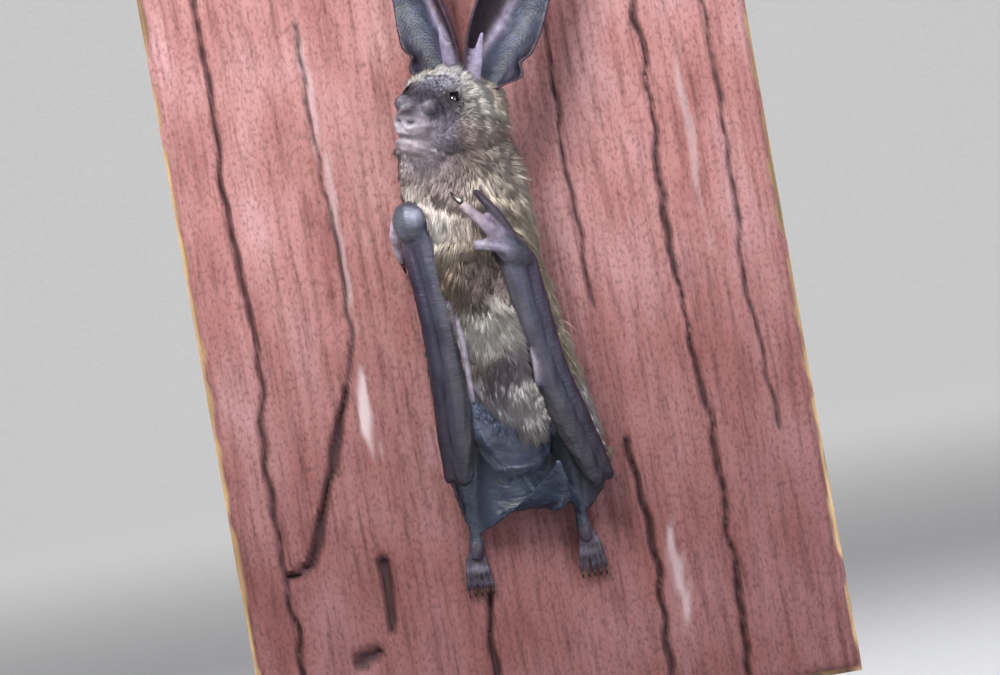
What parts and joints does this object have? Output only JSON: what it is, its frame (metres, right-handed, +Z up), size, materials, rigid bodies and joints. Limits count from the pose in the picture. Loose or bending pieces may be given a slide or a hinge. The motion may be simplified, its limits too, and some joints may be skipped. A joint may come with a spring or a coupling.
{
  "type": "brown big-eared bat display model",
  "caption": "Life-size brown big-eared bat clinging head-up with its back to a short length of painted board, held on a flat display stand.",
  "frame": {"origin": "centre of the stand base's underside, on the floor", "axes": "+Z up, along the bat's body; -Y is the way the bat's belly and the board's painted face look; +X is the bat's left"},
  "size_m": [0.16, 0.1, 0.18],
  "materials": {
    "coat": "soft short fur, dark at the root and tan at the tip",
    "dark_skin": "bare wing and ear skin, dark blue-grey to purple-black, satin",
    "pale_skin": "bare lilac-grey skin of muzzle, thumbs and toes, satin",
    "claw": "dark polished horn",
    "eye": "wet black",
    "painted_board": "old dull red barn paint on rough softwood, cracked along the grain",
    "stand_base": "black satin lacquer",
    "stand_rod": "satin steel"
  },
  "bodies": {
    "root": {"head": "coat", "neck": "coat", "trunk": "coat", "upper_arm_right": "coat", "upper_arm_left": "coat", "thigh_right": "coat", "thigh_left": "coat", "ear_right": "dark_skin", "ear_left": "dark_skin", "hand_right": "dark_skin", "hand_left": "dark_skin", "forearm_right": "dark_skin", "forearm_left": "dark_skin", "folded_fingers_right": "dark_skin", "folded_fingers_left": "dark_skin", "front_membrane_left": "dark_skin", "shin_right": "dark_skin", "shin_left": "dark_skin", "tail": "dark_skin", "tail_membrane_right": "dark_skin", "tail_membrane_left": "dark_skin", "wing_membrane_right": "dark_skin", "wing_membrane_left": "dark_skin", "muzzle": "pale_skin", "lower_jaw": "pale_skin", "tragus_right": "pale_skin", "tragus_left": "pale_skin", "thumb_right": "pale_skin", "thumb_left": "pale_skin", "fifth_finger_right": "pale_skin", "fifth_finger_left": "pale_skin", "second_finger_left": "pale_skin", "foot_right": "pale_skin", "foot_left": "pale_skin", "thumb_claw_right": "claw", "thumb_claw_left": "claw", "eye_right": "eye", "eye_left": "eye", "perch_board": "painted_board", "stand_base": "stand_base", "stand_rod_right": "stand_rod", "stand_rod_left": "stand_rod"}
  },
  "joints": []
}
